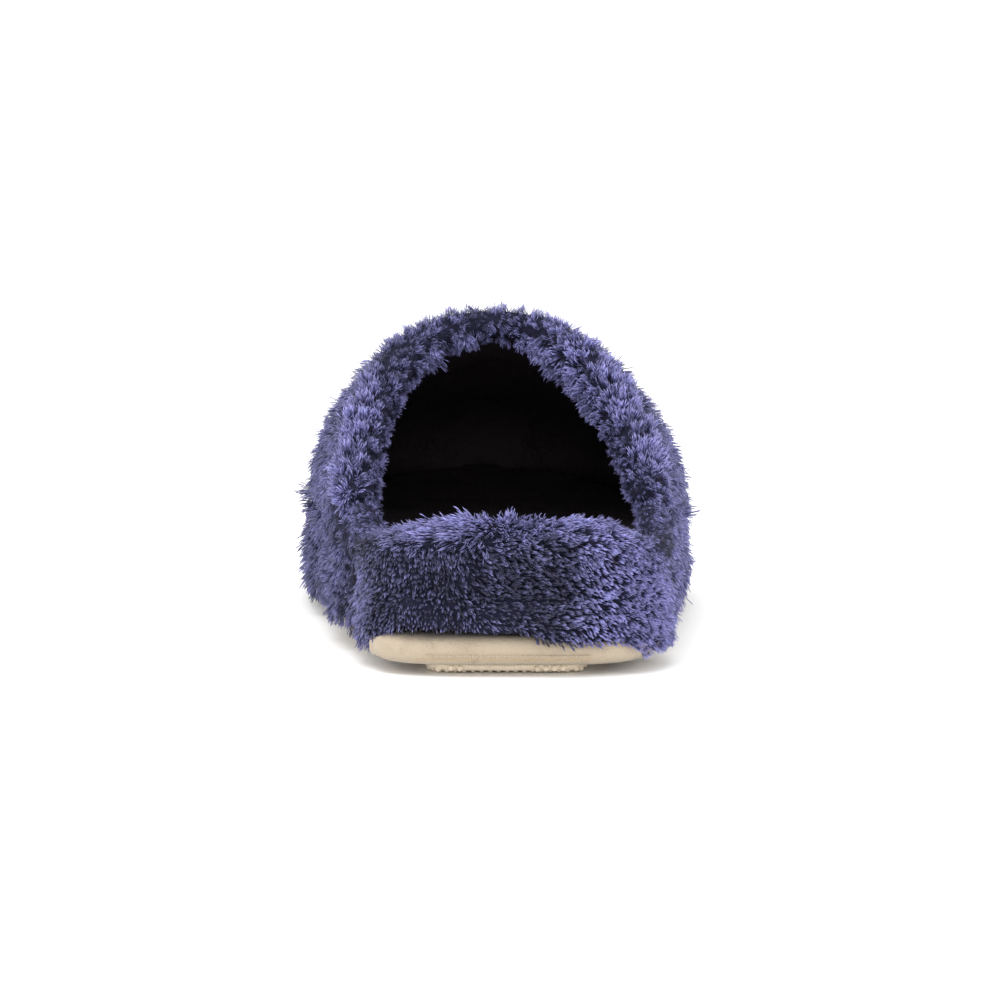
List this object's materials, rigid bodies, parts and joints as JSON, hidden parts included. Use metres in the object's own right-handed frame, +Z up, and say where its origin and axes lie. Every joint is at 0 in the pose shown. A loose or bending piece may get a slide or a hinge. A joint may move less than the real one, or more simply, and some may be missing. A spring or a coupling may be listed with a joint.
{
  "type": "clog slipper",
  "caption": "Backless terry clog slipper for a right foot: shaggy hollow upper with a padded rim round the opening, low heel roll, wrapped platform and cream cushioned sole with a thin tread.",
  "frame": {"origin": "middle of the underside of the slipper's bounding box", "axes": "+Y from heel to toe, +Z up, -X to the medial side"},
  "size_m": [0.1122, 0.262, 0.0904],
  "materials": {
    "terry": "shaggy microfibre terry, blue violet",
    "cream": "matt cream cloth",
    "lining": "matt near black"
  },
  "bodies": {
    "root": {"tread": "cream", "outsole": "cream", "platform": "terry", "insole": "lining", "upper": "terry", "collar": "terry", "heel_roll": "terry"}
  },
  "joints": []
}
